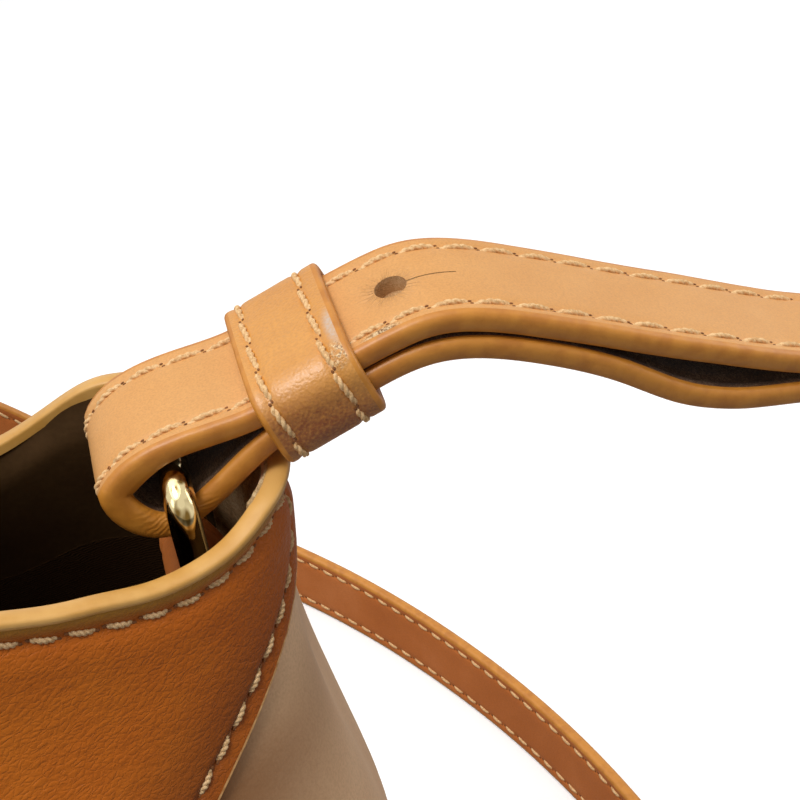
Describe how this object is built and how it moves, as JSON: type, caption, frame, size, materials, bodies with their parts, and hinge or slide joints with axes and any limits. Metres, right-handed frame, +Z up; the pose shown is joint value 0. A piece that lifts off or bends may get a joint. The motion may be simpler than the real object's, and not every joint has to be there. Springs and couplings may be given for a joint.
{
  "type": "bucket bag",
  "caption": "Leather bucket bag with soft end gussets, standing on an oval base; a long flat strap is folded through metal rings inside the mouth and held by a leather keeper.",
  "frame": {"origin": "centre of the base's resting face", "axes": "+Z up, +X towards the end with the adjustable strap, -Y towards the front panel"},
  "size_m": [0.5018, 0.3229, 0.2109],
  "materials": {
    "panel_leather": "grained satin",
    "gusset_leather": "soft matt",
    "lining_leather": "smooth matt",
    "lining_fabric": "twill, matt",
    "strap_leather": "smooth semi-gloss",
    "raw_leather": "rough suede side",
    "brass": "polished",
    "board": "matt"
  },
  "bodies": {
    "body": {"base_panel": "panel_leather", "base_board": "board", "lining_base": "lining_fabric", "front_panel": "panel_leather", "back_panel": "panel_leather", "gusset_right": "gusset_leather", "gusset_left": "gusset_leather", "front_interlining": "lining_leather", "back_interlining": "lining_leather", "mouth_facing": "lining_leather", "lining_wall": "lining_fabric", "slip_pocket": "lining_fabric", "tip_patch_right": "raw_leather", "tip_patch_left": "raw_leather", "chape_right": "strap_leather", "chape_left": "strap_leather", "strap_fold_right": "strap_leather", "strap_fold_left": "strap_leather", "snap_stud": "brass", "snap_socket": "brass"},
    "ring_right": {"ring_right": "brass"},
    "ring_left": {"ring_left": "brass"},
    "keeper": {"keeper": "strap_leather"},
    "strap": {"strap": "strap_leather", "strap_tongue": "strap_leather", "stud_head": "brass", "stud_screw": "brass"}
  },
  "joints": [
    {"name": "strap_swing", "type": "hinge", "parent": "body", "child": "strap", "pos_m": [0, 0, 0.20417], "axis": [1, 0, 0], "range_deg": [0, 127]},
    {"name": "ring_right_swing", "type": "hinge", "parent": "body", "child": "ring_right", "pos_m": [0.0888, 0, 0.1728], "axis": [0, 1, 0], "range_deg": [-4, 1.5]},
    {"name": "ring_left_swing", "type": "hinge", "parent": "body", "child": "ring_left", "pos_m": [-0.0888, 0, 0.1728], "axis": [0, 1, 0], "range_deg": [-1.5, 4]},
    {"name": "keeper_slide", "type": "slide", "parent": "body", "child": "keeper", "axis": [0.891, 0, 0.454], "range_m": [0, 0.0035]}
  ]
}
